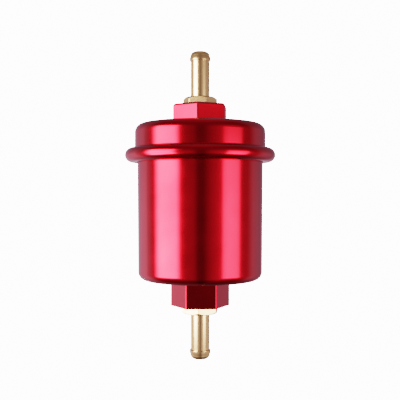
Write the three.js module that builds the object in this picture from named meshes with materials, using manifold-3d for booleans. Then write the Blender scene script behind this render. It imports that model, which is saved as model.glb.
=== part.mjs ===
// In-line fuel filter: a two-piece screwed aluminium housing with a hose barb at each end, holding a
// cleanable pleated mesh cartridge. Units are millimetres, +Z is up along the filter's axis, towards the
// inlet, and the origin is on the axis at the underside of the lid's bead, where the bracket band seats.
import * as THREE from "three";
import { mergeVertices } from "three/addons/utils/BufferGeometryUtils.js";
import Module from "manifold-3d";

const wasm = await Module();
wasm.setup();

// ---- Driving dimensions ----------------------------------------------------------------------------

const GAP = 0.3; // axial gap left between pieces that rest on each other
const CHAMFER = 0.4; // broken edges of turned pieces
const OVERRUN = 1; // how far a cutting or joining shape runs past the face it meets

const LARGE_SIDES = 36; // facets round the housing
const SMALL_SIDES = 24; // facets round the fittings and the small rings
const FILLET_STEPS = 3; // each round of an outline has twice this many flats

const BEAD_RADIUS = 3.05;
const BEAD_CENTRE_RADIUS = 29.13;
const BEAD_FILLET = 0.5; // hollow between the bead and the lid's skirt
const LID_RADIUS = 27.97;
const LID_FILLET = 3.8;
const LID_TOP = 16.55;
const LID_HEX_TOP = 24.7;
const LID_CEILING = 12.9;

const BOWL_TOP_RADIUS = 26.85;
const BOWL_BOTTOM_RADIUS = 26.54;
const BOWL_FILLET = 3.5;
const BOWL_BOTTOM = -50.12;
const BOWL_HEX_BOTTOM = -61.4;
const BOWL_FLOOR = -45.85;
const BOWL_BORE = 22.6;
const FLOOR_FILLET = 2;
const BOWL_SHOULDER = 0.9; // top of the part of the bowl that the lid's mouth covers
const NECK_TOP = 10;

const WRENCH_SIZE = 22; // across flats, both housing hexes
const WRENCH_EDGE = 0.47; // half the width of the bevel along each upright hex edge
const LID_HEX_TURN = 25;
const BOWL_HEX_TURN = 2;

const THREAD_PITCH = 2; // lid on bowl: one full turn lifts the lid by this much
const THREAD_TURNS = 2.6; // engaged ridge on each piece
const THREAD_START = 4.3;
const NECK_ROOT = 24.2;
const NECK_CREST = 25.2;
const LID_THREAD_ROOT = 25.55;
const LID_THREAD_CREST = 24.55;
const RIDGE_ROOT_WIDTH = 1.0;
const RIDGE_CREST_WIDTH = 0.4;
const RIDGE_SUNK = 0.2; // how far a ridge's foot is sunk into the wall that carries it

const SEAL_GROOVE_BOTTOM = 24.3;
const SEAL_GROOVE = [1.2, 3.1];
const SEAL_BORE = 26.1;
const LID_MOUTH = 27.15;

const HOUSING_SEAL_SECTION = 0.7; // radius of the seal's own section
const PLUG_SEAL_SECTION = 0.75;
const SEAL_SIDES = 8; // facets round a seal's own section

const BARB_RADIUS = 4; // fits 8 mm (5/16 in) hose
const BARB_BEAD_RADIUS = 4.48;
const BARB_BORE = 3;
const BARB_LENGTH = 19.6;
const BARB_BEAD_LENGTH = 3.8;
const BARB_BEAD_TAPER = 0.33; // radius the bulb loses towards its nose
const BARB_NOSE = 1.1;

// Each fitting: its hex, how long that hex is, and the tapered pipe thread behind it.
const INLET = { flats: 12.85, turn: 50, hexLength: 3.2, threadRadius: 5.0, threadLength: 8.2, port: 5.5 };
const OUTLET = { flats: 14.5, turn: 24, hexLength: 3.3, threadRadius: 6.5, threadLength: 9.0, port: 7.0 };
const PIPE_TAPER = 1 / 32; // radius lost per millimetre of thread
const TAPE_THICKNESS = 0.22;
const THREAD_RUNOUT = 0.6; // depth and width of the undercut behind the hex
const FITTING_EDGE = 0.05; // half the bevel along a fitting's upright hex edges
const HEX_CHAMFER_INSET = 0.3;
const HEX_CHAMFER_SLOPE = 35; // degrees

const SPIGOT_RADIUS = 6.2; // carries the spring's washer under the lid's ceiling
const SPIGOT_BORE = 4;
const SPIGOT_END = 9.2;
const CLIP_GROOVE = [10.0, 11.1];
const CLIP_GROOVE_RADIUS = 5.5;

const NECK_RECESS_RADIUS = 7.8; // bowl floor's socket for the cartridge's neck
const NECK_RECESS_END = -51;

const CARTRIDGE_RADIUS = 19.5;
const END_CAP_THICKNESS = 1.2;
const END_CAP_RIM = 0.6;
const RIM_DEPTH = 2.8;
const UPPER_CAP_TOP = 2.5;
const LOWER_CAP_BOTTOM = -44.5;
const BOSS_HEIGHT = 2; // centres the spring on the upper cap
const LUGS = 4; // centre the upper cap in the bowl
const LUG_WIDTH = 3;
const PLUG_RADIUS = 7.5;
const PLUG_BORE = 4.5;
const PLUG_END = -50.4;
const PLUG_GROOVE = [-49.2, -47.2];
const PLUG_GROOVE_RADIUS = 5.85;
const POTTING = 1;
const POTTING_BORE = 7.2;
const PLEATS = 36;
const PLEAT_OUTER = 18.4;
const PLEAT_INNER = 9.2;
const FOLD_HALF = 0.65; // half the width of an outer fold
const VALLEY_HALF = 0.2; // half the width of an inner fold
const MESH_THICKNESS = 0.4;
const SEAM_SHEET = 0.35;
const SEAM_LENGTH = 2.6;
const HOLE_ROWS = 6;
const HOLES_ACROSS = 4; // each drilling goes through both sides of the tube
const HOLE_RADIUS = 1.7;
const CORE_OUTER = 8.6;
const CORE_INNER = 8;

const WASHER_RADIUS = 12.5;
const WASHER_THICKNESS = 1.1;
const CLIP_OUTER = 7.9;
const CLIP_MOUTH = 3.2;
const CLIP_PLAY = 0.15; // gap on each side of the clip in its groove

const SPRING_RADIUS = 9.5;
const SPRING_WIRE = 0.6; // wire radius
const SPRING_TURNS = 4.5;
const CLOSED_TURNS = 0.9; // turns in each flat end coil
const SPRING_STEPS = 81; // straight lengths that its wire is made of

// ---- Shared shapes -----------------------------------------------------------------------------------

const radians = THREE.MathUtils.degToRad;

// A three.js geometry as a manifold-3d solid, whichever way round its faces were wound.
function solidOf(geometry) {
  const bare = new THREE.BufferGeometry();
  const flat = geometry.index ? geometry.toNonIndexed() : geometry;
  bare.setAttribute("position", flat.getAttribute("position"));
  const merged = mergeVertices(bare, 1e-4);
  const corners = merged.index.array;
  const whole = [];
  for (let i = 0; i < corners.length; i += 3) {
    const [a, b, c] = corners.slice(i, i + 3);
    if (a !== b && b !== c && c !== a) whole.push(a, b, c);
  }
  const made = (triangles) =>
    new wasm.Manifold(
      new wasm.Mesh({
        numProp: 3,
        vertProperties: new Float32Array(merged.attributes.position.array),
        triVerts: new Uint32Array(triangles),
      }),
    );
  const solid = made(whole);
  return solid.volume() < 0 ? made(whole.reverse()) : solid;
}

// A manifold-3d solid as a three.js geometry.
function geometryOf(solid) {
  const mesh = solid.getMesh();
  const geometry = new THREE.BufferGeometry();
  geometry.setAttribute("position", new THREE.BufferAttribute(mesh.vertProperties, mesh.numProp));
  geometry.setIndex(new THREE.BufferAttribute(mesh.triVerts, 1));
  geometry.computeVertexNormals();
  return geometry;
}

// A path in (radius, height) turned once about the Z axis. It starts and ends on the axis, or closes.
function revolve(path, sides, steps = FILLET_STEPS) {
  const geometry = new THREE.LatheGeometry(path.getPoints(steps), sides);
  return solidOf(geometry.rotateX(Math.PI / 2));
}

// A round bar on the axis between two heights.
function rod(radius, bottom, top, sides) {
  const path = new THREE.Path().moveTo(0, bottom).lineTo(radius, bottom).lineTo(radius, top).lineTo(0, top);
  return revolve(path, sides);
}

// A ring with a rectangular section.
function ring(inner, outer, bottom, top, sides) {
  const path = new THREE.Path()
    .moveTo(inner, bottom)
    .lineTo(outer, bottom)
    .lineTo(outer, top)
    .lineTo(inner, top)
    .lineTo(inner, bottom);
  return revolve(path, sides);
}

// A flat shape drawn upright between two heights.
function prism(shape, bottom, top) {
  const geometry = new THREE.ExtrudeGeometry(shape, { depth: top - bottom, bevelEnabled: false });
  return solidOf(geometry.translate(0, 0, bottom));
}

// A hexagonal bar between two heights, with a flat bevel along each upright edge.
function hexBar(flats, edge, bottom, top, turnDegrees) {
  const corner = flats / Math.sqrt(3);
  const outline = [];
  for (let k = 0; k < 6; k++) {
    for (const side of [-1, 1]) {
      const along = radians(turnDegrees + 60 * k);
      const bevelRadius = corner - edge / Math.tan(radians(60));
      const x = bevelRadius * Math.cos(along) - side * edge * Math.sin(along);
      const y = bevelRadius * Math.sin(along) + side * edge * Math.cos(along);
      outline.push(new THREE.Vector2(x, y));
    }
  }
  return prism(new THREE.Shape(outline), bottom, top);
}

// A right-handed screw ridge. foot and crest are radii: crest is the larger on a male thread and the
// smaller on a female one. The ridge fades in and out over an eighth of a turn at each end.
function screwRidge({ foot, crest, start }) {
  const steps = Math.round(THREAD_TURNS * LARGE_SIDES);
  const fade = LARGE_SIDES / 8;
  const vertices = [];
  const faces = [];
  for (let i = 0; i <= steps; i++) {
    const angle = (2 * Math.PI * i) / LARGE_SIDES;
    const rise = Math.min(1, (i + 1) / fade, (steps - i + 1) / fade);
    const height = start + (THREAD_PITCH * i) / LARGE_SIDES;
    const tip = foot + (crest - foot) * rise;
    const section = [
      [foot, -RIDGE_ROOT_WIDTH / 2],
      [tip, -RIDGE_CREST_WIDTH / 2],
      [tip, RIDGE_CREST_WIDTH / 2],
      [foot, RIDGE_ROOT_WIDTH / 2],
    ];
    for (const [radius, lift] of section) {
      vertices.push(radius * Math.cos(angle), radius * Math.sin(angle), height + lift);
    }
  }
  for (let i = 0; i < steps; i++) {
    for (let k = 0; k < 4; k++) {
      const a = 4 * i + k;
      const b = 4 * i + ((k + 1) % 4);
      faces.push(a, b, b + 4, a, b + 4, a + 4);
    }
  }
  const last = 4 * steps;
  faces.push(0, 2, 1, 0, 3, 2, last, last + 1, last + 2, last, last + 2, last + 3);
  const geometry = new THREE.BufferGeometry();
  geometry.setAttribute("position", new THREE.BufferAttribute(new Float32Array(vertices), 3));
  geometry.setIndex(faces);
  return solidOf(geometry);
}

// A rubber ring of round section.
function sealRing(centreRadius, sectionRadius, height, sides) {
  const torus = new THREE.TorusGeometry(centreRadius, sectionRadius, SEAL_SIDES, sides);
  return solidOf(torus.translate(0, 0, height));
}

// ---- Housing -------------------------------------------------------------------------------------------

function bowl() {
  const outside = new THREE.Path()
    .moveTo(0, BOWL_BOTTOM)
    .lineTo(BOWL_BOTTOM_RADIUS - BOWL_FILLET, BOWL_BOTTOM)
    .absarc(BOWL_BOTTOM_RADIUS - BOWL_FILLET, BOWL_BOTTOM + BOWL_FILLET, BOWL_FILLET, -Math.PI / 2, 0)
    .lineTo(BOWL_TOP_RADIUS, BOWL_SHOULDER)
    .lineTo(NECK_CREST, BOWL_SHOULDER)
    .lineTo(NECK_CREST, SEAL_GROOVE[0])
    .lineTo(SEAL_GROOVE_BOTTOM, SEAL_GROOVE[0])
    .lineTo(SEAL_GROOVE_BOTTOM, SEAL_GROOVE[1])
    .lineTo(NECK_CREST, SEAL_GROOVE[1])
    .lineTo(NECK_CREST, SEAL_GROOVE[1] + CHAMFER)
    .lineTo(NECK_ROOT, SEAL_GROOVE[1] + 2 * CHAMFER)
    .lineTo(NECK_ROOT, NECK_TOP - CHAMFER)
    .lineTo(NECK_ROOT - CHAMFER, NECK_TOP)
    .lineTo(0, NECK_TOP);
  const inside = new THREE.Path()
    .moveTo(0, BOWL_HEX_BOTTOM - OVERRUN)
    .lineTo(OUTLET.port, BOWL_HEX_BOTTOM - OVERRUN)
    .lineTo(OUTLET.port, NECK_RECESS_END)
    .lineTo(NECK_RECESS_RADIUS, NECK_RECESS_END)
    .lineTo(NECK_RECESS_RADIUS, BOWL_FLOOR)
    .lineTo(BOWL_BORE - FLOOR_FILLET, BOWL_FLOOR)
    .absarc(BOWL_BORE - FLOOR_FILLET, BOWL_FLOOR + FLOOR_FILLET, FLOOR_FILLET, -Math.PI / 2, 0)
    .lineTo(BOWL_BORE, NECK_TOP + OVERRUN)
    .lineTo(0, NECK_TOP + OVERRUN);
  const ridge = screwRidge({
    foot: NECK_ROOT - RIDGE_SUNK,
    crest: NECK_CREST,
    start: THREAD_START,
  });
  return revolve(outside, LARGE_SIDES)
    .add(hexBar(WRENCH_SIZE, WRENCH_EDGE, BOWL_HEX_BOTTOM, BOWL_BOTTOM + OVERRUN, BOWL_HEX_TURN))
    .add(ridge)
    .subtract(revolve(inside, LARGE_SIDES));
}

function lid() {
  const hollowCentre = LID_RADIUS + BEAD_FILLET;
  const beadTop = 2 * BEAD_RADIUS;
  const outside = new THREE.Path()
    .moveTo(0, 0)
    .lineTo(BEAD_CENTRE_RADIUS, 0)
    .absarc(BEAD_CENTRE_RADIUS, BEAD_RADIUS, BEAD_RADIUS, -Math.PI / 2, 0)
    .absarc(BEAD_CENTRE_RADIUS, BEAD_RADIUS, BEAD_RADIUS, 0, Math.PI / 2)
    .absarc(hollowCentre, beadTop + BEAD_FILLET, BEAD_FILLET, -Math.PI / 2, -Math.PI, true)
    .lineTo(LID_RADIUS, LID_TOP - LID_FILLET)
    .absarc(LID_RADIUS - LID_FILLET, LID_TOP - LID_FILLET, LID_FILLET, 0, Math.PI / 2)
    .lineTo(0, LID_TOP);
  const threadTop = NECK_TOP + 2 * GAP;
  const upperBore = NECK_ROOT + GAP;
  const inside = new THREE.Path()
    .moveTo(0, -OVERRUN)
    .lineTo(LID_MOUTH, -OVERRUN)
    .lineTo(LID_MOUTH, BOWL_SHOULDER + GAP)
    .lineTo(SEAL_BORE, BOWL_SHOULDER + GAP)
    .lineTo(SEAL_BORE, SEAL_GROOVE[1] + CHAMFER)
    .lineTo(LID_THREAD_ROOT, SEAL_GROOVE[1] + 2 * CHAMFER)
    .lineTo(LID_THREAD_ROOT, threadTop)
    .lineTo(upperBore, threadTop)
    .lineTo(upperBore, LID_CEILING - 2 * CHAMFER)
    .lineTo(upperBore - 2 * CHAMFER, LID_CEILING)
    .lineTo(0, LID_CEILING);
  const spigot = new THREE.Path()
    .moveTo(0, LID_CEILING + OVERRUN)
    .lineTo(SPIGOT_RADIUS, LID_CEILING + OVERRUN)
    .lineTo(SPIGOT_RADIUS, CLIP_GROOVE[1])
    .lineTo(CLIP_GROOVE_RADIUS, CLIP_GROOVE[1])
    .lineTo(CLIP_GROOVE_RADIUS, CLIP_GROOVE[0])
    .lineTo(SPIGOT_RADIUS, CLIP_GROOVE[0])
    .lineTo(SPIGOT_RADIUS, SPIGOT_END)
    .lineTo(0, SPIGOT_END);
  const portEnd = LID_HEX_TOP - INLET.threadLength - 2 * GAP;
  const passage = new THREE.Path()
    .moveTo(0, SPIGOT_END - OVERRUN)
    .lineTo(SPIGOT_BORE, SPIGOT_END - OVERRUN)
    .lineTo(SPIGOT_BORE, portEnd)
    .lineTo(INLET.port, portEnd)
    .lineTo(INLET.port, LID_HEX_TOP + OVERRUN)
    .lineTo(0, LID_HEX_TOP + OVERRUN);
  const ridge = screwRidge({
    foot: LID_THREAD_ROOT + RIDGE_SUNK,
    crest: LID_THREAD_CREST,
    start: THREAD_START + THREAD_PITCH / 2,
  });
  return revolve(outside, LARGE_SIDES)
    .add(hexBar(WRENCH_SIZE, WRENCH_EDGE, LID_TOP - OVERRUN, LID_HEX_TOP, LID_HEX_TURN))
    .subtract(revolve(inside, LARGE_SIDES))
    .add(revolve(spigot, SMALL_SIDES))
    .add(ridge)
    .subtract(revolve(passage, SMALL_SIDES));
}

// ---- Hose fittings ---------------------------------------------------------------------------------------

// A barb fitting pointing up, with the seat of its hex at height 0.
function barbFitting({ flats, turn, hexLength, threadRadius, threadLength }) {
  const end = hexLength + BARB_LENGTH;
  const step = end - BARB_BEAD_LENGTH;
  const noseRadius = BARB_BEAD_RADIUS - BARB_BEAD_TAPER;
  const tipRadius = threadRadius - threadLength * PIPE_TAPER;
  const undercut = threadRadius - THREAD_RUNOUT;
  const turned = new THREE.Path()
    .moveTo(BARB_BORE, -threadLength)
    .lineTo(tipRadius - CHAMFER, -threadLength)
    .lineTo(tipRadius, CHAMFER - threadLength)
    .lineTo(threadRadius, -2 * THREAD_RUNOUT)
    .lineTo(undercut, -THREAD_RUNOUT)
    .lineTo(undercut, 2 * GAP)
    .lineTo(BARB_RADIUS, 2 * GAP)
    .lineTo(BARB_RADIUS, step)
    .lineTo(BARB_BEAD_RADIUS, step + GAP)
    .lineTo(noseRadius, end - BARB_NOSE)
    .absarc(noseRadius - BARB_NOSE, end - BARB_NOSE, BARB_NOSE, 0, Math.PI / 2)
    .lineTo(BARB_BORE, end)
    .lineTo(BARB_BORE, -threadLength);
  const chamferRadius = flats / 2 - HEX_CHAMFER_INSET;
  const chamfer = new THREE.Path()
    .moveTo(0, 0)
    .lineTo(flats, 0)
    .lineTo(flats, hexLength - (flats - chamferRadius) * Math.tan(radians(HEX_CHAMFER_SLOPE)))
    .lineTo(chamferRadius, hexLength)
    .lineTo(0, hexLength);
  const head = hexBar(flats, FITTING_EDGE, GAP, hexLength, turn)
    .intersect(revolve(chamfer, LARGE_SIDES))
    .subtract(rod(BARB_BORE, 0, hexLength + OVERRUN, SMALL_SIDES));
  return revolve(turned, SMALL_SIDES).add(head);
}

// Sealing tape wound on a fitting's tapered thread.
function threadTape({ threadRadius, threadLength }) {
  const inner = (depth) => threadRadius + TAPE_THICKNESS / 2 - depth * PIPE_TAPER;
  const [from, to] = [1 + CHAMFER, threadLength - 1];
  const path = new THREE.Path()
    .moveTo(inner(from), -from)
    .lineTo(inner(from) + TAPE_THICKNESS, -from)
    .lineTo(inner(to) + TAPE_THICKNESS, -to)
    .lineTo(inner(to), -to)
    .lineTo(inner(from), -from);
  return revolve(path, SMALL_SIDES);
}

// ---- Cartridge -------------------------------------------------------------------------------------------

const MEDIA_TOP = UPPER_CAP_TOP - END_CAP_THICKNESS - POTTING - 2 * GAP;
const MEDIA_BOTTOM = LOWER_CAP_BOTTOM + END_CAP_THICKNESS + POTTING + 2 * GAP;

function upperEndCap() {
  const disc = UPPER_CAP_TOP - END_CAP_THICKNESS;
  const bossRadius = SPRING_RADIUS - SPRING_WIRE - 2 * GAP;
  const path = new THREE.Path()
    .moveTo(0, disc)
    .lineTo(CARTRIDGE_RADIUS - END_CAP_RIM, disc)
    .lineTo(CARTRIDGE_RADIUS - END_CAP_RIM, disc - RIM_DEPTH)
    .lineTo(CARTRIDGE_RADIUS, disc - RIM_DEPTH)
    .lineTo(CARTRIDGE_RADIUS, UPPER_CAP_TOP)
    .lineTo(bossRadius, UPPER_CAP_TOP)
    .lineTo(bossRadius - 2 * CHAMFER, UPPER_CAP_TOP + BOSS_HEIGHT)
    .lineTo(0, UPPER_CAP_TOP + BOSS_HEIGHT);
  let cap = revolve(path, LARGE_SIDES);
  const [lugStart, lugEnd] = [CARTRIDGE_RADIUS - OVERRUN, BOWL_BORE - 2 * GAP];
  for (let k = 0; k < LUGS; k++) {
    const lug = new THREE.BoxGeometry(lugEnd - lugStart, LUG_WIDTH, END_CAP_THICKNESS);
    lug.translate((lugStart + lugEnd) / 2, 0, disc + END_CAP_THICKNESS / 2);
    cap = cap.add(solidOf(lug.rotateZ((2 * Math.PI * k) / LUGS)));
  }
  return cap;
}

function lowerEndCap() {
  const discTop = LOWER_CAP_BOTTOM + END_CAP_THICKNESS;
  const path = new THREE.Path()
    .moveTo(PLUG_BORE, PLUG_END)
    .lineTo(PLUG_RADIUS - CHAMFER, PLUG_END)
    .lineTo(PLUG_RADIUS, PLUG_END + CHAMFER)
    .lineTo(PLUG_RADIUS, PLUG_GROOVE[0])
    .lineTo(PLUG_GROOVE_RADIUS, PLUG_GROOVE[0])
    .lineTo(PLUG_GROOVE_RADIUS, PLUG_GROOVE[1])
    .lineTo(PLUG_RADIUS, PLUG_GROOVE[1])
    .lineTo(PLUG_RADIUS, LOWER_CAP_BOTTOM)
    .lineTo(CARTRIDGE_RADIUS, LOWER_CAP_BOTTOM)
    .lineTo(CARTRIDGE_RADIUS, discTop + RIM_DEPTH)
    .lineTo(CARTRIDGE_RADIUS - END_CAP_RIM, discTop + RIM_DEPTH)
    .lineTo(CARTRIDGE_RADIUS - END_CAP_RIM, discTop)
    .lineTo(PLUG_BORE, discTop)
    .lineTo(PLUG_BORE, PLUG_END);
  return revolve(path, LARGE_SIDES);
}

// The mesh folded into pleats: flat-topped folds at both radii, with upright walls between them.
function pleatedMesh() {
  const fold = Math.PI / PLEATS;
  const point = (radius, angle) => new THREE.Vector2(radius * Math.cos(angle), radius * Math.sin(angle));
  const outline = [];
  const hole = [];
  for (let k = 0; k < PLEATS; k++) {
    const tip = 2 * fold * k;
    const valley = tip + fold;
    const outerAngle = FOLD_HALF / PLEAT_OUTER;
    const innerAngle = (FOLD_HALF - MESH_THICKNESS) / (PLEAT_OUTER - MESH_THICKNESS);
    const valleyAngle = VALLEY_HALF / (PLEAT_INNER + MESH_THICKNESS);
    const backAngle = (VALLEY_HALF + MESH_THICKNESS) / PLEAT_INNER;
    outline.push(point(PLEAT_OUTER, tip - outerAngle), point(PLEAT_OUTER, tip + outerAngle));
    outline.push(point(PLEAT_INNER + MESH_THICKNESS, valley - valleyAngle));
    outline.push(point(PLEAT_INNER + MESH_THICKNESS, valley + valleyAngle));
    hole.push(point(PLEAT_OUTER - MESH_THICKNESS, tip - innerAngle));
    hole.push(point(PLEAT_OUTER - MESH_THICKNESS, tip + innerAngle));
    hole.push(point(PLEAT_INNER, valley - backAngle), point(PLEAT_INNER, valley + backAngle));
  }
  const shape = new THREE.Shape(outline);
  shape.holes.push(new THREE.Path(hole));
  return prism(shape, MEDIA_BOTTOM, MEDIA_TOP);
}

// The folded strip that closes the mesh's one seam, gripping the fold at angle 0 from outside.
function seamClip() {
  const inner = FOLD_HALF + GAP;
  const outer = inner + SEAM_SHEET;
  const [foot, face] = [PLEAT_OUTER - SEAM_LENGTH, PLEAT_OUTER + 0.4 * GAP];
  const outline = [
    [foot, -outer],
    [face + SEAM_SHEET, -outer],
    [face + SEAM_SHEET, outer],
    [foot, outer],
    [foot, inner],
    [face, inner],
    [face, -inner],
    [foot, -inner],
  ].map(([x, y]) => new THREE.Vector2(x, y));
  const bottom = LOWER_CAP_BOTTOM + END_CAP_THICKNESS + RIM_DEPTH + GAP;
  const top = UPPER_CAP_TOP - END_CAP_THICKNESS - RIM_DEPTH - GAP;
  return prism(new THREE.Shape(outline), bottom, top);
}

// The tube that holds the pleats open against the fuel's pressure.
function coreTube() {
  let tube = ring(CORE_INNER, CORE_OUTER, MEDIA_BOTTOM, MEDIA_TOP, SMALL_SIDES);
  const pitch = (MEDIA_TOP - MEDIA_BOTTOM) / HOLE_ROWS;
  for (let row = 0; row < HOLE_ROWS; row++) {
    for (let k = 0; k < HOLES_ACROSS; k++) {
      const drill = new THREE.CylinderGeometry(HOLE_RADIUS, HOLE_RADIUS, 3 * CORE_OUTER, 8);
      drill.rotateZ((Math.PI * (k + (row % 2) / 2)) / HOLES_ACROSS);
      drill.rotateX(Math.PI / 2);
      drill.translate(0, 0, MEDIA_BOTTOM + pitch * (row + 0.5));
      tube = tube.subtract(solidOf(drill));
    }
  }
  return tube;
}

// Adhesive that bonds the ends of the mesh and tube into an end cap.
function potting(bottom) {
  const outer = CARTRIDGE_RADIUS - END_CAP_RIM - GAP;
  return ring(POTTING_BORE, outer, bottom, bottom + POTTING, LARGE_SIDES);
}

// ---- Spring, its washer and its clip -------------------------------------------------------------------

const WASHER_TOP = LID_CEILING - GAP;
const WASHER_BOTTOM = WASHER_TOP - WASHER_THICKNESS;

// Centre line of a spring whose end coils lie flat.
class SpringLine extends THREE.Curve {
  constructor(bottom, top) {
    super();
    this.bottom = bottom;
    this.top = top;
  }

  getPoint(t, target = new THREE.Vector3()) {
    const angle = 2 * Math.PI * SPRING_TURNS * t;
    const closed = CLOSED_TURNS / SPRING_TURNS; // share of the wire in each flat end coil
    const flat = 0.14; // share of the height that a flat end coil still climbs
    const middle = (t - closed) / (1 - 2 * closed);
    let climb = flat + (1 - 2 * flat) * middle;
    if (t < closed) climb = (flat * t) / closed;
    if (t > 1 - closed) climb = 1 - (flat * (1 - t)) / closed;
    const height = this.bottom + (this.top - this.bottom) * climb;
    return target.set(SPRING_RADIUS * Math.cos(angle), SPRING_RADIUS * Math.sin(angle), height);
  }
}

function spring() {
  const path = new SpringLine(UPPER_CAP_TOP + GAP + SPRING_WIRE, WASHER_BOTTOM - GAP - SPRING_WIRE);
  const section = new THREE.Shape().absarc(0, 0, SPRING_WIRE, 0, 2 * Math.PI);
  const options = { steps: SPRING_STEPS, curveSegments: 4, extrudePath: path };
  return solidOf(new THREE.ExtrudeGeometry(section, options));
}

function retainingClip() {
  const [bottom, top] = [CLIP_GROOVE[0] + CLIP_PLAY, CLIP_GROOVE[1] - CLIP_PLAY];
  const mouth = new THREE.BoxGeometry(2 * CLIP_OUTER, CLIP_MOUTH, 4 * OVERRUN);
  mouth.translate(CLIP_OUTER, 0, bottom);
  const clip = ring(CLIP_GROOVE_RADIUS + CLIP_PLAY, CLIP_OUTER, bottom, top, SMALL_SIDES);
  return clip.subtract(solidOf(mouth));
}

// ---- Assembly --------------------------------------------------------------------------------------------

const finishes = {
  redAnodised: { color: 0xb3061c, roughness: 0.2, metalness: 1 },
  brass: { color: 0xc9a063, roughness: 0.18, metalness: 1 },
  steel: { color: 0xb8babd, roughness: 0.35, metalness: 1 },
  wireMesh: { color: 0x9a9c9e, roughness: 0.5, metalness: 1 },
  rubber: { color: 0x15130f, roughness: 0.7, metalness: 0 },
  adhesive: { color: 0x8a5a1e, roughness: 0.5, metalness: 0 },
  tape: { color: 0xf2f1ec, roughness: 0.6, metalness: 0 },
};

const filter = new THREE.Group();

function place(name, solid, finish, holder = filter) {
  const mesh = new THREE.Mesh(geometryOf(solid), new THREE.MeshStandardMaterial(finishes[finish]));
  mesh.name = name;
  holder.add(mesh);
  return mesh;
}

place("bowl", bowl(), "redAnodised");
place("lid", lid(), "redAnodised");
const sealCentre = (SEAL_GROOVE_BOTTOM + SEAL_BORE) / 2;
const sealHeight = (SEAL_GROOVE[0] + SEAL_GROOVE[1]) / 2;
place("housing_o_ring", sealRing(sealCentre, HOUSING_SEAL_SECTION, sealHeight, LARGE_SIDES), "rubber");

const inletEnd = new THREE.Group();
inletEnd.position.z = LID_HEX_TOP;
filter.add(inletEnd);
place("inlet_barb_fitting", barbFitting(INLET), "brass", inletEnd);
place("inlet_thread_tape", threadTape(INLET), "tape", inletEnd);

const outletEnd = new THREE.Group();
outletEnd.position.z = BOWL_HEX_BOTTOM;
outletEnd.rotation.x = Math.PI;
filter.add(outletEnd);
place("outlet_barb_fitting", barbFitting({ ...OUTLET, turn: -OUTLET.turn }), "brass", outletEnd);
place("outlet_thread_tape", threadTape(OUTLET), "tape", outletEnd);

place("element_upper_end_cap", upperEndCap(), "steel");
place("element_upper_potting", potting(MEDIA_TOP + GAP), "adhesive");
place("element_pleated_mesh", pleatedMesh(), "wireMesh");
place("element_seam_clip", seamClip(), "steel");
place("element_core_tube", coreTube(), "steel");
place("element_lower_potting", potting(MEDIA_BOTTOM - GAP - POTTING), "adhesive");
place("element_lower_end_cap", lowerEndCap(), "steel");
const plugSealCentre = (PLUG_GROOVE_RADIUS + NECK_RECESS_RADIUS) / 2;
const plugSealHeight = (PLUG_GROOVE[0] + PLUG_GROOVE[1]) / 2;
place("element_o_ring", sealRing(plugSealCentre, PLUG_SEAL_SECTION, plugSealHeight, SMALL_SIDES), "rubber");

const washer = ring(SPIGOT_RADIUS + GAP, WASHER_RADIUS, WASHER_BOTTOM, WASHER_TOP, SMALL_SIDES);
place("spring_washer", washer, "steel");
place("element_spring", spring(), "steel");
place("washer_retaining_clip", retainingClip(), "steel");

export default filter;
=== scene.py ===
# Looks of the in-line fuel filter: red anodised housing, brass hose barbs and the mesh cartridge inside.
# The lengths in the constants and outlines are millimetres; the meshes are in metres.
import math

import bmesh
import bpy
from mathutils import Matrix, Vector


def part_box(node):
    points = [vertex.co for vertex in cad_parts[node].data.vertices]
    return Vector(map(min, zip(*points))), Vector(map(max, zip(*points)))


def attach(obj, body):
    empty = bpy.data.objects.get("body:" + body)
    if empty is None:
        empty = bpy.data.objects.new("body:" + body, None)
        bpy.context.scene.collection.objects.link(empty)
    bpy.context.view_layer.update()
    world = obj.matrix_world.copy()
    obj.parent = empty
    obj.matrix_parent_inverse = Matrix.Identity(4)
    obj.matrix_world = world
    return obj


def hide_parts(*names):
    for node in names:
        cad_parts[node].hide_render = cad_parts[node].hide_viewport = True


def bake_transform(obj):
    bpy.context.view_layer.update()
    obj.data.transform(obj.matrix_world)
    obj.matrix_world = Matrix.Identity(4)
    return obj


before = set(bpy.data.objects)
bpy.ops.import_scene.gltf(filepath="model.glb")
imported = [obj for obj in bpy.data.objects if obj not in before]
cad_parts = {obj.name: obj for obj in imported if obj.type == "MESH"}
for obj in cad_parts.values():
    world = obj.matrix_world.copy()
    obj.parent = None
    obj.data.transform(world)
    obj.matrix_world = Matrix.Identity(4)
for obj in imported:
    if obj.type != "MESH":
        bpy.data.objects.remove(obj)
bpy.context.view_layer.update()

MM = 0.001
BOWL, WASHER, LID = "bowl_assembly", "washer_assembly", "lid_assembly"

# ---- Sizes -----------------------------------------------------------------------------------------


def span(node):
    """Lowest height, highest height and reach along X of a CAD node, in millimetres."""
    low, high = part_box(node)
    return low.z / MM, high.z / MM, high.x / MM


LID_LOW, LID_HEX_TOP, BEAD_REACH = span("lid")
BOWL_HEX_LOW, NECK_TOP, BOWL_RADIUS = span("bowl")
INLET_END = span("inlet_barb_fitting")[1]
OUTLET_END = span("outlet_barb_fitting")[0]
SEAL_LOW, SEAL_HIGH, SEAL_REACH = span("housing_o_ring")
PLUG_SEAL_LOW, PLUG_SEAL_HIGH, PLUG_SEAL_REACH = span("element_o_ring")
LOWER_CAP_LOW, LOWER_CAP_HIGH, CARTRIDGE_RADIUS = span("element_lower_end_cap")
UPPER_CAP_LOW, UPPER_CAP_HIGH, LUG_REACH = span("element_upper_end_cap")
MEDIA_LOW, MEDIA_HIGH, PLEAT_REACH = span("element_pleated_mesh")
SEAM_LOW, SEAM_HIGH, SEAM_REACH = span("element_seam_clip")
CORE_LOW, CORE_HIGH, CORE_RADIUS = span("element_core_tube")
WASHER_LOW, WASHER_HIGH, WASHER_RADIUS = span("spring_washer")
SPRING_LOW, SPRING_HIGH, SPRING_REACH = span("element_spring")
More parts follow.
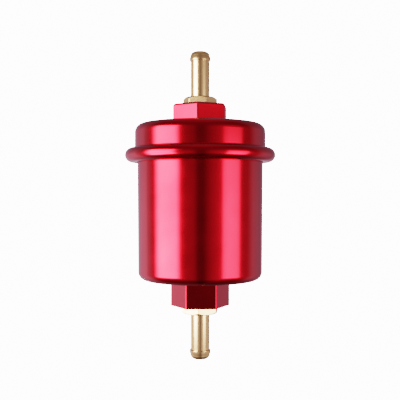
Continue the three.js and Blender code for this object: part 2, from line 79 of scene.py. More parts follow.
CLIP_LOW, CLIP_HIGH = span("washer_retaining_clip")[:2]

BEAD = 3.05  # radius of the bead's own section
SKIRT_RADIUS = 27.97
SKIRT_HOLLOW = 0.5
LID_FILLET = 3.8
LID_HEX_HEIGHT = 8.15
LID_TOP = LID_HEX_TOP - LID_HEX_HEIGHT
MOUTH_RADIUS = 27.15
BOWL_DRAFT = 0.31
BOWL_FILLET = 3.5
BOWL_HEX_HEIGHT = 11.28
BOWL_LOW = BOWL_HEX_LOW + BOWL_HEX_HEIGHT
BOWL_SHOULDER = 0.9
BOWL_BORE = 22.6
BOWL_FLOOR = -45.85
FLOOR_FILLET = 2
NECK_ROOT = 24.2
NECK_CREST = 25.2
CHAMFER = 0.4
LID_CEILING = 12.9
LID_BORE = 24.5  # above the thread
SEAL_BORE = 26.1
SEAL_GROOVE = (1.2, 3.1)
SEAL_GROOVE_BOTTOM = 24.3
THREAD_TOP = 10.6
SPIGOT_RADIUS = 6.2  # carries the spring's washer under the lid's ceiling
SPIGOT_BORE = 4
SPIGOT_END = 9.2
CLIP_GROOVE = (10.0, 11.1)
CLIP_GROOVE_RADIUS = 5.5
INLET_PORT = 5.5
INLET_PORT_DEPTH = 8.8
OUTLET_PORT = 7
NECK_RECESS_RADIUS = 7.8  # socket for the cartridge's neck
NECK_RECESS_END = -51

HEX_FLATS = 22
HEX_EDGE = 0.25  # half the bevel along each upright edge of a housing hexagon
LID_HEX_BREAK = 0.75  # edge broken round the lid hexagon's top
HEX_ROOT = 0.45  # fillet where a housing hexagon leaves the turned face
LID_HEX_TURN = 25
BOWL_HEX_TURN = 2

AROUND = 192  # points round a turned housing piece
FINE_AROUND = 96  # points round a fitting or a small ring
BEVEL_POINTS = 2  # points on each half of a hexagon's upright bevel


# ---- Mesh making -----------------------------------------------------------------------------------


def arc(centre_r, centre_z, radius, start, end, steps=10):
    """Points of an arc in a turned piece's outline, from one angle to another, in degrees."""
    points = []
    for i in range(steps + 1):
        angle = math.radians(start + (end - start) * i / steps)
        points.append((centre_r + radius * math.cos(angle), centre_z + radius * math.sin(angle)))
    return points


def round_point(radius, angle, height):
    """A point at that distance from the axis, by its angle in radians."""
    return radius * math.cos(angle), radius * math.sin(angle), height


def round_ring(radius, height, around, turn=0.0):
    """One circle of points."""
    first = math.radians(turn)
    return [round_point(radius, first + 2 * math.pi * k / around, height) for k in range(around)]


def turned(outline, around, turn=0.0):
    """The circles of an outline given as (radius, height) points."""
    return [round_ring(radius, height, around, turn) for radius, height in outline]


def hex_ring(flats, edge, height, around, turn, cone_radius=None, slope=0.0):
    """One hexagon of points whose corners are cut by a bevel 2 * edge wide. Where cone_radius is given,
    what lies outside it drops away from height along a cone, as a turned chamfer does."""
    corner = flats / math.sqrt(3)
    half_flat = corner / 2 - edge / math.sin(math.radians(60))
    sixth = around // 6
    ring = []
    for k in range(around):
        side = (k + sixth // 2) // sixth
        step = k - side * sixth
        along = corner - edge / math.tan(math.radians(60))
        across = edge * max(-1, min(1, step / BEVEL_POINTS))
        if abs(step) > BEVEL_POINTS:
            run = half_flat * (abs(step) - BEVEL_POINTS) / (sixth / 2 - BEVEL_POINTS)
            along -= run * math.cos(math.radians(60))
            across += math.copysign(run * math.sin(math.radians(60)), step)
        angle = math.radians(turn + 60 * side)
        x = along * math.cos(angle) - across * math.sin(angle)
        y = along * math.sin(angle) + across * math.cos(angle)
        drop = 0.0 if cone_radius is None else max(0.0, math.hypot(x, y) - cone_radius) * slope
        ring.append((x, y, height - drop))
    return ring


def hex_root(height, away, around, turn):
    """The rings of the fillet at the foot of a housing hexagon, from the turned face to the flats. away is
    1 where the hexagon rises from the face and -1 where it hangs from it."""
    rings = []
    for radius, lift in arc(HEX_ROOT, HEX_ROOT, HEX_ROOT, 270, 180, steps=5):
        flats = HEX_FLATS + 2 * radius
        rings.append(hex_ring(flats, HEX_EDGE, height + away * lift, around, turn))
    return rings


def loft_faces(rings, closed):
    """Faces between neighbouring rings of equally many points."""
    around = len(rings[0])
    faces = []
    for i in range(len(rings) if closed else len(rings) - 1):
        a = i * around
        b = (i + 1) % len(rings) * around
        for k in range(around):
            after = (k + 1) % around
            faces.append((a + k, a + after, b + after, b + k))
    return faces


def loft(name, rings, material):
    """A body through rings, the last of which returns to the first."""
    points = [point for ring in rings for point in ring]
    return mesh_piece(name, points, loft_faces(rings, closed=True), material)


def strand(name, rings, material):
    """A body through rings, with a flat end at the first and at the last of them."""
    points = [point for ring in rings for point in ring]
    faces = loft_faces(rings, closed=False)
    faces.append(tuple(range(len(rings[0]))))
    faces.append(tuple(range(len(points) - len(rings[0]), len(points))))
    return mesh_piece(name, points, faces, material)


def mesh_piece(name, points, faces, material):
    """A piece from points in millimetres and faces, which are turned outwards."""
    mesh = bpy.data.meshes.new(name)
    mesh.from_pydata([Vector(point) * MM for point in points], [], faces)
    work = bmesh.new()
    work.from_mesh(mesh)
    bmesh.ops.remove_doubles(work, verts=work.verts, dist=MM * 1e-4)
    bmesh.ops.recalc_face_normals(work, faces=work.faces)
    if work.calc_volume(signed=True) < 0:
        bmesh.ops.reverse_faces(work, faces=work.faces)
    work.to_mesh(mesh)
    work.free()
    mesh.materials.append(material)
    piece = bpy.data.objects.new(name, mesh)
    bpy.context.scene.collection.objects.link(piece)
    return piece


def soften(piece, width=0.12, segments=2, angle=25):
    """Breaks a piece's edges by a bevel of that many millimetres and shades it smooth."""
    for polygon in piece.data.polygons:
        polygon.use_smooth = True
    bevel = piece.modifiers.new("edges", "BEVEL")
    bevel.width = width * MM
    bevel.segments = segments
    bevel.limit_method = "ANGLE"
    bevel.angle_limit = math.radians(angle)
    bevel.harden_normals = True
    return piece


def put(piece, body, slot, *nodes):
    """Fixes a finished piece to its body and lets it stand for its CAD nodes."""
    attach(piece, body)
    if nodes:
        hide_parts(*nodes)


# ---- Materials -------------------------------------------------------------------------------------


def calculated(tree, operation, *values):
    """The result of a math node on sockets or numbers."""
    node = tree.nodes.new("ShaderNodeMath")
    node.operation = operation
    for socket, value in zip(node.inputs, values):
        if isinstance(value, (int, float)):
            socket.default_value = value
        else:
            tree.links.new(value, socket)
    return node.outputs[0]


def fill_ramp(ramp, stops):
    """Gives a colour ramp greys at stops of (position, brightness)."""
    elements = ramp.color_ramp.elements
    while len(elements) < len(stops):
        elements.new(0.5)
    for element, (position, grey) in zip(elements, stops):
        element.position = position
        element.color = (grey, grey, grey, 1)


class Nodes:
    """A node material with short calls for the nodes that the finishes below share."""

    def __init__(self, name, colour, roughness, metallic=0.0):
        self.material = bpy.data.materials.new(name)
        self.material.use_nodes = True
        self.tree = self.material.node_tree
        self.shader = self.tree.nodes["Principled BSDF"]
        self.set("Base Color", (*colour, 1))
        self.set("Roughness", roughness)
        self.set("Metallic", metallic)
        self.place = self.add("ShaderNodeTexCoord").outputs["Object"]
        split = self.add("ShaderNodeSeparateXYZ")
        self.link(self.place, split.inputs[0])
        self.x, self.y, self.z = split.outputs

    def add(self, kind, **settings):
        """A new node with those settings."""
        node = self.tree.nodes.new(kind)
        for key, value in settings.items():
            setattr(node, key, value)
        return node

    def link(self, source, target):
        """Joins two sockets."""
        self.tree.links.new(source, target)

    def set(self, socket, value):
        """Sets a socket of the shader."""
        self.shader.inputs[socket].default_value = value

    def math(self, operation, *values):
        """The result of a math node on sockets or numbers."""
        return calculated(self.tree, operation, *values)

    def radius(self):
        """Distance from the filter's axis, in metres."""
        x_square = self.math("MULTIPLY", self.x, self.x)
        y_square = self.math("MULTIPLY", self.y, self.y)
        return self.math("SQRT", self.math("ADD", x_square, y_square))

    def noise(self, period, detail=2.0, along=None, stretch=None):
        """Noise whose blobs are about that many millimetres apart: along one value, or in space, where
        stretch may scale X, Y and Z."""
        node = self.add("ShaderNodeTexNoise")
        node.inputs["Detail"].default_value = detail
        node.inputs["Scale"].default_value = 1 / (period * MM)
        if along is not None:
            node.noise_dimensions = "1D"
            self.link(along, node.inputs["W"])
            return node.outputs[0]
        if stretch:
            scale = self.add("ShaderNodeVectorMath", operation="MULTIPLY")
            scale.inputs[1].default_value = stretch
            self.link(self.place, scale.inputs[0])
            self.link(scale.outputs[0], node.inputs["Vector"])
        else:
            self.link(self.place, node.inputs["Vector"])
        return node.outputs[0]

    def remap(self, value, low, high, from_low=0.3, from_high=0.7):
        """Stretches a value's range, at first the one that a noise mostly stays in, to low and high."""
        node = self.add("ShaderNodeMapRange")
        self.link(value, node.inputs["Value"])
        node.inputs["From Min"].default_value = from_low
        node.inputs["From Max"].default_value = from_high
        node.inputs["To Min"].default_value = low
        node.inputs["To Max"].default_value = high
        return node.outputs[0]

    def shade(self, dark, light, share):
        """Sets the base colour between two colours."""
        mix = self.add("ShaderNodeMix", data_type="RGBA")
        mix.inputs["A"].default_value = (*dark, 1)
        mix.inputs["B"].default_value = (*light, 1)
        self.link(share, mix.inputs["Factor"])
        self.link(mix.outputs["Result"], self.shader.inputs["Base Color"])

    def rough(self, value):
        """Takes the roughness from a value."""
        self.link(value, self.shader.inputs["Roughness"])

    def bump(self, *layers):
        """Stacks bumps, each a height from 0 to 1 and its depth in micrometres."""
        normal = None
        for height, depth in layers:
            node = self.add("ShaderNodeBump")
            node.inputs["Distance"].default_value = depth * 1e-6
            node.inputs["Strength"].default_value = 1
            self.link(height, node.inputs["Height"])
            if normal:
                self.link(normal, node.inputs["Normal"])
            normal = node.outputs[0]
        self.link(normal, self.shader.inputs["Normal"])


# How strongly the clear oxide shows over the dye: (slant, weight), where slant is 0 face on and 1 edge on.
OXIDE_SHEEN = [(0.35, 0.12), (0.42, 0.85), (0.48, 1), (0.58, 0.85), (0.72, 0.4), (1, 0.25)]


def anodised_aluminium():
    """Dyed red anodising: fine turning marks and a faint mottle under a clear oxide skin."""
    n = Nodes("red_anodised", (0.6, 0.011, 0.0215), 0.16, 1.0)
    facing = n.add("ShaderNodeLayerWeight").outputs["Facing"]
    skin = n.add("ShaderNodeValToRGB")
    fill_ramp(skin, OXIDE_SHEEN)
    n.link(facing, skin.inputs[0])
    n.link(skin.outputs["Color"], n.shader.inputs["Coat Weight"])
    n.set("Specular Tint", (1, 0.85, 0.95, 1))
    n.set("Coat Roughness", 0.12)
    n.set("Coat IOR", 1.5)
    feed = n.math("ADD", n.z, n.math("MULTIPLY", n.radius(), 0.8))
    marks = n.noise(0.35, 3.0, along=feed)
    mottle = n.noise(9.0, 3.0)
    n.shade((0.57, 0.0095, 0.0195), (0.63, 0.012, 0.0235), n.remap(mottle, 0, 1))
    n.rough(n.math("ADD", n.remap(marks, -0.012, 0.012), n.remap(mottle, 0.145, 0.175)))
    n.bump((marks, 0.5), (n.noise(0.5, 2.0), 0.5))
    return n.material


TURNED_REACH, BAR_REACH = 5.3, 5.9  # brass is turned out to the first radius, and drawn from the second
WEAVE_PITCH = 0.3


def turned_brass():
    """Bright brass with turning marks and a trace of tarnish, duller on the hexagons' drawn flats."""
    n = Nodes("turned_brass", (0.94, 0.6, 0.295), 0.22, 1.0)
    marks = n.noise(0.3, 3.0, along=n.z)
    tarnish = n.noise(3.0, 4.0)
    bar = n.remap(n.radius(), 0.2, 0.26, TURNED_REACH * MM, BAR_REACH * MM)
    n.shade((0.89, 0.56, 0.275), (0.99, 0.635, 0.315), n.remap(tarnish, 0, 1))
    dulled = n.math("ADD", bar, n.remap(tarnish, 0.04, 0.01))
    n.rough(n.math("ADD", n.remap(marks, -0.015, 0.015), dulled))
    n.bump((marks, 0.8), (n.noise(0.4, 2.0), 0.6))
    return n.material


def sheet_steel():
    """Pressed stainless sheet with a rolled grain."""
    n = Nodes("sheet_steel", (0.62, 0.62, 0.63), 0.3, 1.0)
    grain = n.noise(0.4, 3.0, stretch=(0.06, 1, 1))
    n.shade((0.52, 0.52, 0.53), (0.68, 0.68, 0.69), n.remap(grain, 0, 1))
    n.rough(n.remap(grain, 0.24, 0.38))
    n.bump((grain, 2.0))
    return n.material


def drawn_wire():
    """Spring wire with faint drawing lines and a darker oxide in places."""
    n = Nodes("drawn_wire", (0.5, 0.5, 0.51), 0.3, 1.0)
    bloom = n.noise(2.0, 3.0)
    n.shade((0.36, 0.36, 0.38), (0.56, 0.56, 0.57), n.remap(bloom, 0, 1))
    n.rough(n.remap(bloom, 0.36, 0.24))
    n.bump((n.noise(0.25, 2.0), 3.0))
    return n.material


def woven_wire():
    """Plain woven filter cloth: wires up and down, and wires across them, with painted shade in the
    weave's sunken cells.
    """
    n = Nodes("woven_wire", (0.5, 0.5, 0.5), 0.42, 1.0)
    turns = 2 * math.pi / (WEAVE_PITCH * MM)
    upright = n.math("SINE", n.math("MULTIPLY", n.radius(), turns))
    across = n.math("SINE", n.math("MULTIPLY", n.z, turns))
    weave = n.math("MULTIPLY", upright, across)
    # The colour darkens where the weave sinks: painted shade under the crossing wires.
    n.shade((0.16, 0.16, 0.16), (0.62, 0.62, 0.62), n.remap(weave, 0, 1, -0.7, 0.7))
    n.rough(n.remap(n.noise(4.0), 0.36, 0.5))
    n.bump((n.remap(weave, 0, 1, -1, 1), 40.0))
    return n.material


def moulded_rubber():
    """Black nitrile with a dusty bloom and a fine moulded skin."""
    n = Nodes("moulded_rubber", (0.018, 0.018, 0.019), 0.5)
    bloom = n.noise(1.6, 4.0)
    n.shade((0.012, 0.012, 0.013), (0.034, 0.034, 0.034), n.remap(bloom, 0, 1))
    n.rough(n.remap(bloom, 0.42, 0.62))
    n.bump((n.noise(0.15, 2.0), 6.0))
    return n.material


def cured_adhesive():
    """Amber epoxy with ripples and small bubbles."""
    n = Nodes("cured_adhesive", (0.3, 0.12, 0.02), 0.25)
    cloud = n.noise(2.5, 3.0)
    n.shade((0.2, 0.075, 0.012), (0.38, 0.17, 0.035), n.remap(cloud, 0, 1))
    n.rough(n.remap(cloud, 0.18, 0.34))
    n.bump((n.noise(0.7, 3.0), 25.0))
    return n.material


def stretched_tape():
    """White PTFE film, stretched round the thread so that its wraps and creases show."""
    n = Nodes("stretched_tape", (0.8, 0.8, 0.79), 0.5)
    wraps = n.noise(0.9, 2.0, stretch=(0.1, 0.1, 1))
    n.shade((0.66, 0.66, 0.64), (0.86, 0.86, 0.85), n.remap(wraps, 0, 1))
    n.rough(n.remap(wraps, 0.4, 0.58))
    n.bump((wraps, 40.0))
    return n.material


RED = anodised_aluminium()
BRASS = turned_brass()
STEEL = sheet_steel()
WIRE = drawn_wire()
CLOTH = woven_wire()
RUBBER = moulded_rubber()
ADHESIVE = cured_adhesive()
TAPE = stretched_tape()


# ---- Housing ---------------------------------------------------------------------------------------

THREAD_PITCH = 2.0
THREAD_TURNS = 2.6
THREAD_START = 4.3
THREAD_STEPS = 96  # in each turn
THREAD_FADE = 12  # steps over which a ridge rises at each end
RIDGE_SUNK = 0.2
# Half of a ridge's section from its foot to its crest: share of its depth, and half width.
RIDGE = [(0, 0.5), (0.55, 0.34), (0.9, 0.24), (1, 0.14)]
LID_THREAD_ROOT = 25.55
LID_THREAD_CREST = 24.55
LID_THREAD_START = THREAD_START + THREAD_PITCH / 2


def lid_outside():
    """The lid's rings from its mouth, over the bead, the skirt and the shoulder, to the hexagon's top."""
    bead_centre = BEAD_REACH - BEAD
    hollow_centre = SKIRT_RADIUS + SKIRT_HOLLOW
    shoulder = SKIRT_RADIUS - LID_FILLET
    outline = [(MOUTH_RADIUS, LID_LOW)]
    outline += arc(bead_centre, BEAD, BEAD, -90, 90, steps=28)
    outline += arc(hollow_centre, 2 * BEAD + SKIRT_HOLLOW, SKIRT_HOLLOW, -90, -180, steps=8)
    outline += arc(shoulder, LID_TOP - LID_FILLET, LID_FILLET, 0, 90, steps=14)
    rings = turned(outline, AROUND, LID_HEX_TURN)
    rings += hex_root(LID_TOP, 1, AROUND, LID_HEX_TURN)
    for inset, drop in ((0, LID_HEX_BREAK), (LID_HEX_BREAK, 0)):
        flats = HEX_FLATS - 2 * inset
        rings.append(hex_ring(flats, HEX_EDGE, LID_HEX_TOP - drop, AROUND, LID_HEX_TURN))
    return rings


def make_lid():
    """The lid, with the inlet's port, the spigot for the washer and the bore over the bowl's neck."""
    port_end = LID_HEX_TOP - INLET_PORT_DEPTH
    inside = [
        (INLET_PORT + CHAMFER, LID_HEX_TOP),
        (INLET_PORT, LID_HEX_TOP - CHAMFER),
        (INLET_PORT, port_end),
        (SPIGOT_BORE, port_end),
        (SPIGOT_BORE, SPIGOT_END),
        (SPIGOT_RADIUS, SPIGOT_END),
        (SPIGOT_RADIUS, CLIP_GROOVE[0]),
        (CLIP_GROOVE_RADIUS, CLIP_GROOVE[0]),
        (CLIP_GROOVE_RADIUS, CLIP_GROOVE[1]),
        (SPIGOT_RADIUS, CLIP_GROOVE[1]),
        (SPIGOT_RADIUS, LID_CEILING),
        (LID_BORE - 2 * CHAMFER, LID_CEILING),
        (LID_BORE, LID_CEILING - 2 * CHAMFER),
        (LID_BORE, THREAD_TOP),
        (LID_THREAD_ROOT, THREAD_TOP),
        (LID_THREAD_ROOT, SEAL_GROOVE[1] + 2 * CHAMFER),
        (SEAL_BORE, SEAL_GROOVE[1] + CHAMFER),
        (SEAL_BORE, SEAL_GROOVE[0]),
        (MOUTH_RADIUS, SEAL_GROOVE[0]),
    ]
    rings = lid_outside() + turned(inside, AROUND, LID_HEX_TURN)
    lid = soften(loft("lid_shell", rings, RED))
    put(lid, LID, "red_anodised", "lid")


def make_bowl():
    """The bowl, from the outlet's port round its outside to the neck, and down its bore to the port."""
    low_radius = BOWL_RADIUS - BOWL_DRAFT
    port = [(OUTLET_PORT, BOWL_HEX_LOW + CHAMFER), (OUTLET_PORT + CHAMFER, BOWL_HEX_LOW)]
    rings = turned(port, AROUND, BOWL_HEX_TURN)
    rings.append(hex_ring(HEX_FLATS, HEX_EDGE, BOWL_HEX_LOW, AROUND, BOWL_HEX_TURN))
    rings += reversed(hex_root(BOWL_LOW, -1, AROUND, BOWL_HEX_TURN))
    outline = arc(low_radius - BOWL_FILLET, BOWL_LOW + BOWL_FILLET, BOWL_FILLET, -90, 0, steps=14)
    outline += [
        (BOWL_RADIUS, BOWL_SHOULDER),
        (NECK_CREST, BOWL_SHOULDER),
        (NECK_CREST, SEAL_GROOVE[0]),
        (SEAL_GROOVE_BOTTOM, SEAL_GROOVE[0]),
        (SEAL_GROOVE_BOTTOM, SEAL_GROOVE[1]),
        (NECK_CREST, SEAL_GROOVE[1]),
        (NECK_CREST, SEAL_GROOVE[1] + CHAMFER),
        (NECK_ROOT, SEAL_GROOVE[1] + 2 * CHAMFER),
        (NECK_ROOT, NECK_TOP - CHAMFER),
        (NECK_ROOT - CHAMFER, NECK_TOP),
        (BOWL_BORE, NECK_TOP),
    ]
    outline += arc(BOWL_BORE - FLOOR_FILLET, BOWL_FLOOR + FLOOR_FILLET, FLOOR_FILLET, 0, -90, steps=8)
    outline += [(NECK_RECESS_RADIUS, BOWL_FLOOR), (NECK_RECESS_RADIUS, NECK_RECESS_END)]
    outline += [(OUTLET_PORT, NECK_RECESS_END)]
    rings += turned(outline, AROUND, BOWL_HEX_TURN)
    bowl = soften(loft("bowl_shell", rings, RED))
    put(bowl, BOWL, "red_anodised", "bowl")


def make_thread(name, foot, crest, start, body):
    """A right-handed screw ridge with a rounded crest, which fades in and out at its ends."""
    steps = round(THREAD_TURNS * THREAD_STEPS)
    section = [(share, -half) for share, half in RIDGE]
    section += [(share, half) for share, half in reversed(RIDGE)]
    rings = []
    for i in range(steps + 1):
        angle = 2 * math.pi * i / THREAD_STEPS
        depth = (crest - foot) * min(1.0, (i + 1) / THREAD_FADE, (steps - i + 1) / THREAD_FADE)
        height = start + THREAD_PITCH * i / THREAD_STEPS
        rings.append([round_point(foot + depth * share, angle, height + lift) for share, lift in section])
    thread = soften(strand(name, rings, RED), width=0.04, segments=1, angle=40)
    put(thread, body, "red_anodised")


def make_seal(name, low, high, reach, around, body, node):
    """A moulded rubber ring."""
    section = (high - low) / 2
    outline = arc(reach - section, (low + high) / 2, section, 0, 360, steps=24)[:-1]
    seal = soften(loft(name, turned(outline, around), RUBBER), width=0.02, segments=1, angle=60)
    put(seal, body, "rubber", node)


# ---- Fittings --------------------------------------------------------------------------------------

BARB_RADIUS = 4.0
BULB_RADIUS = 4.48
BULB_LENGTH = 4.1
BULB_WIDE = 2.75  # from the tip to where the bulb is widest
BULB_NOSE = 2.0
BULB_NOSE_CENTRE = 2.15
BARB_BORE = 3.0
BULB_STEP = 0.3  # length of the bulb's lower edge
BARB_FILLET = 0.25
HEX_CHAMFER_INSET = 0.3
FITTING_EDGE = 0.1  # half the bevel along a fitting's upright hexagon edges
THREAD_RUNOUT = 0.6
THREAD_END = -1.0  # from the seat
TAPE_START = 1.0  # from the thread's small end
TAPE_END = -1.6
SEAT_GAP = 0.02
PIPE_TAPER = 1 / 32
PIPE_PITCH = 0.94
PIPE_THREAD_DEPTH = 0.45
TAPE_SWELL = 0.33
TAPE_THICKNESS = 0.2
CHAMFER_SLOPE = math.tan(math.radians(35))
INLET = {"flats": 12.85, "turn": 50, "hex_length": 3.2, "thread": 5.0, "thread_length": 8.2}
OUTLET = {"flats": 14.5, "turn": -24, "hex_length": 3.3, "thread": 6.5, "thread_length": 9.0}


def placed(rings, seat, point):
    """Rings moved to a port: point is 1 where it faces up and -1 where it faces down."""
    return [[(x, point * y, seat + point * z) for x, y, z in ring] for ring in rings]


def threaded(size, first, last, swell=0.0, depth=PIPE_THREAD_DEPTH):
    """Outline of a taper pipe thread between two heights, as plain rings."""
    outline = []
    half_pitch = PIPE_PITCH / 2
    for i in range(int((last - first) / half_pitch)):
        height = first + half_pitch * i
        crest = size["thread"] + height * PIPE_TAPER + swell
        outline.append((crest - depth * (i % 2), height))
    return outline


def make_tape(name, seat, point, size, body, node):
    """Sealing tape pulled into a fitting's thread, so that the thread shows through its outside."""
    start = TAPE_START - size["thread_length"]
    outside = threaded(size, start, TAPE_END, TAPE_SWELL, PIPE_THREAD_DEPTH / 3)
    inside = [(radius - TAPE_THICKNESS, height) for radius, height in reversed(outside)]
    rings = turned(outside + inside, FINE_AROUND)
    tape = soften(loft(name, placed(rings, seat, point), TAPE), width=0.05, segments=1, angle=60)
    put(tape, body, "thread_tape", node)


def make_fitting(name, seat, end, point, size, body, node):
    """A turned brass barb whose hexagon sits on the housing at seat."""
    length = abs(end - seat)
    step = length - BULB_LENGTH
    root, low, turn = size["thread"], -size["thread_length"], size["turn"]
    foot = [(BARB_BORE, low), (root + low * PIPE_TAPER - THREAD_RUNOUT, low)]
    foot += threaded(size, low + CHAMFER, THREAD_END)
    foot += [(root - THREAD_RUNOUT, THREAD_END), (root - THREAD_RUNOUT, SEAT_GAP)]
    top = size["hex_length"]
    inset = size["flats"] / 2 - HEX_CHAMFER_INSET
    rings = turned(foot, FINE_AROUND, turn)
    rings.append(hex_ring(size["flats"], FITTING_EDGE, SEAT_GAP, FINE_AROUND, turn))
    rings.append(hex_ring(size["flats"], FITTING_EDGE, top, FINE_AROUND, turn, inset, CHAMFER_SLOPE))
    barb = [
        (inset, top),
        (BARB_RADIUS + BARB_FILLET, top),
        (BARB_RADIUS, top + BARB_FILLET),
        (BARB_RADIUS, step),
        (BULB_RADIUS - BULB_STEP / 3, step + BULB_STEP / 2),
        (BULB_RADIUS, step + BULB_STEP),
        (BULB_RADIUS, length - BULB_WIDE),
    ]
    barb += arc(BULB_NOSE_CENTRE, length - BULB_NOSE, BULB_NOSE, 0, 90, steps=12)
    rings += turned(barb, FINE_AROUND, turn)
    fitting = soften(loft(name, placed(rings, seat, point), BRASS), width=0.08)
    put(fitting, body, "brass", node)


# ---- Cartridge -------------------------------------------------------------------------------------

CAP_SHEET = 1.2
CAP_RIM = 0.6
CAP_RIM_DEPTH = 2.8
CAP_GROOVE = [(13.0, 0), (13.4, 0.4), (14.8, 0.4), (15.2, 0)]  # pressed into both caps: radius and depth
BOSS_HEIGHT = 2.0
BOSS_RADIUS = 7.9
BOSS_ROUND = 0.7
BOSS_FOOT = [(0.55, 0), (0.2, 0.35)]  # beyond the boss and above the cap
BOSS_HOLLOW = [(5.2, 0), (4.8, 0.35), (0, 0.35)]  # radius and depth
LUG_WIDTH = 3.0
LUG_CORNER = 0.4
PLUG_RADIUS = 7.5
PLUG_BORE = 4.5
PLUG_GROOVE_RADIUS = 5.85
PLUG_GROOVE_PLAY = 0.25
POTTING_BORE = 7.2
POTTING_POINTS = 8  # for each fold
POTTING_SINK = 0.16  # how far the adhesive sinks between the folds
POTTING_FALL = 0.7  # share of it that is lower between the folds than on them
POTTING_RIPPLES = (14, 11, 9, 8)  # radii of rings across its face
POTTING_RIM = (0.4, 2)  # rings inside its rim
PLEATS = 36
PLEAT_LEVELS = 12
FOLD_HALF = 0.65
VALLEY_HALF = 0.2
CLOTH_THICKNESS = 0.4
PLEAT_INNER = 9.2
PLEAT_SWAY = 0.012  # radians that a fold leans this way and that along its height
SWAY_STEP = 2.4  # radians from fold to fold, so that neighbours sway by different amounts
SWAY_PHASE = 1.7  # and at different heights
SEAM_SHEET = 0.35
SEAM_HALF = 1.3
SEAM_DEPTH = 3.07
CRIMP = 0.13
CRIMPS = 9
CORE_WALL = 0.6
CORE_ROWS = 6
CORE_HOLES = 8  # in each row
CORE_HOLE_RADIUS = 1.7
# Half of the border of one cell of the tube round its hole, where -1 and 1 are its sides and ends.
HALF_CELL = [(1, -1), (1, -0.5), (1, 0), (1, 0.5), (1, 1), (0.5, 1), (0, 1), (-0.5, 1)]
CELL = HALF_CELL + [(-across, -up) for across, up in HALF_CELL]


def lugged_ring(height):
    """The upper cap's edge, with a rounded lug standing out at each quarter."""
    ring = round_ring(CARTRIDGE_RADIUS, height, AROUND)
    half = LUG_WIDTH / 2
    steps = [
        (3, CARTRIDGE_RADIUS, half),
        (2, LUG_REACH - LUG_CORNER, half),
        (1, LUG_REACH, half - LUG_CORNER),
        (0, LUG_REACH, 0),
    ]
    for quarter in range(4):
        cos, sin = math.cos(math.pi / 2 * quarter), math.sin(math.pi / 2 * quarter)
        for step, along, across in steps:
            for side in (-1, 1):
                offset = side * across
                place = (quarter * AROUND // 4 + side * step) % AROUND
                ring[place] = (along * cos - offset * sin, along * sin + offset * cos, height)
    return ring


def make_upper_cap():
    """The cap over the closed end, with its lugs, a pressed groove and the boss inside the spring."""
    top = UPPER_CAP_HIGH - BOSS_HEIGHT
    disc = top - CAP_SHEET
    inside = CARTRIDGE_RADIUS - CAP_RIM
    edge = [(inside, UPPER_CAP_LOW), (CARTRIDGE_RADIUS, UPPER_CAP_LOW), (CARTRIDGE_RADIUS, disc)]
    rings = turned([(0, disc), (inside, disc)] + edge, AROUND)
    rings += [lugged_ring(disc), lugged_ring(top)]
    face = [(CARTRIDGE_RADIUS - CAP_SHEET, top)]
    face += [(radius, top - depth) for radius, depth in reversed(CAP_GROOVE)]
    face += [(BOSS_RADIUS + beyond, top + rise) for beyond, rise in BOSS_FOOT]
    face += arc(BOSS_RADIUS - BOSS_ROUND, UPPER_CAP_HIGH - BOSS_ROUND, BOSS_ROUND, 0, 90, steps=6)
    face += [(radius, UPPER_CAP_HIGH - depth) for radius, depth in BOSS_HOLLOW]
    rings += turned(face, AROUND)
    cap = soften(loft("upper_cap", rings, STEEL), width=0.15)
    put(cap, BOWL, "steel", "element_upper_end_cap")


def make_lower_cap():
    """The cap with the plug through which the fuel leaves the cartridge."""
    disc_top = LOWER_CAP_HIGH - CAP_RIM_DEPTH
    disc = disc_top - CAP_SHEET
    inside = CARTRIDGE_RADIUS - CAP_RIM
    groove = PLUG_SEAL_LOW - PLUG_GROOVE_PLAY, PLUG_SEAL_HIGH + PLUG_GROOVE_PLAY
    outline = [
        (PLUG_BORE, LOWER_CAP_LOW),
        (PLUG_RADIUS - CHAMFER, LOWER_CAP_LOW),
        (PLUG_RADIUS, LOWER_CAP_LOW + CHAMFER),
        (PLUG_RADIUS, groove[0]),
        (PLUG_GROOVE_RADIUS, groove[0]),
        (PLUG_GROOVE_RADIUS, groove[1]),
        (PLUG_RADIUS, groove[1]),
        (PLUG_RADIUS, disc - CHAMFER),
        (PLUG_RADIUS + CHAMFER, disc),
    ]
    outline += [(radius, disc + depth) for radius, depth in CAP_GROOVE]
    outline += [
        (CARTRIDGE_RADIUS, disc),
        (CARTRIDGE_RADIUS, LOWER_CAP_HIGH),
        (inside, LOWER_CAP_HIGH),
        (inside, disc_top),
        (PLUG_BORE, disc_top),
    ]
    cap = soften(loft("lower_cap", turned(outline, AROUND), STEEL), width=0.15)
    put(cap, BOWL, "steel", "element_lower_end_cap")


def make_potting(name, node, point):
    """Adhesive whose face has risen on the folds that stand in it and sunk between them. point is 1 where
    the folds are above it."""
    low, high, reach = span(node)
    flat, wet = (low, high) if point > 0 else (high, low)
    around = POTTING_POINTS * PLEATS
    rings = turned([(POTTING_BORE, flat), (reach, flat), (reach, wet - point * POTTING_SINK)], around)
    for radius in [reach - inset for inset in POTTING_RIM] + list(POTTING_RIPPLES):
        ring = []
        for x, y, z in round_ring(radius, wet, around):
            fold = math.cos(PLEATS * math.atan2(y, x))
            sink = POTTING_SINK * (1 - POTTING_FALL * fold) / (1 + POTTING_FALL)
            ring.append((x, y, z - point * sink))
        rings.append(ring)
    rings += turned([(POTTING_BORE, wet - point * POTTING_SINK)], around)
    potting = soften(loft(name, rings, ADHESIVE), width=0.05, segments=1, angle=50)
    put(potting, BOWL, "adhesive", node)


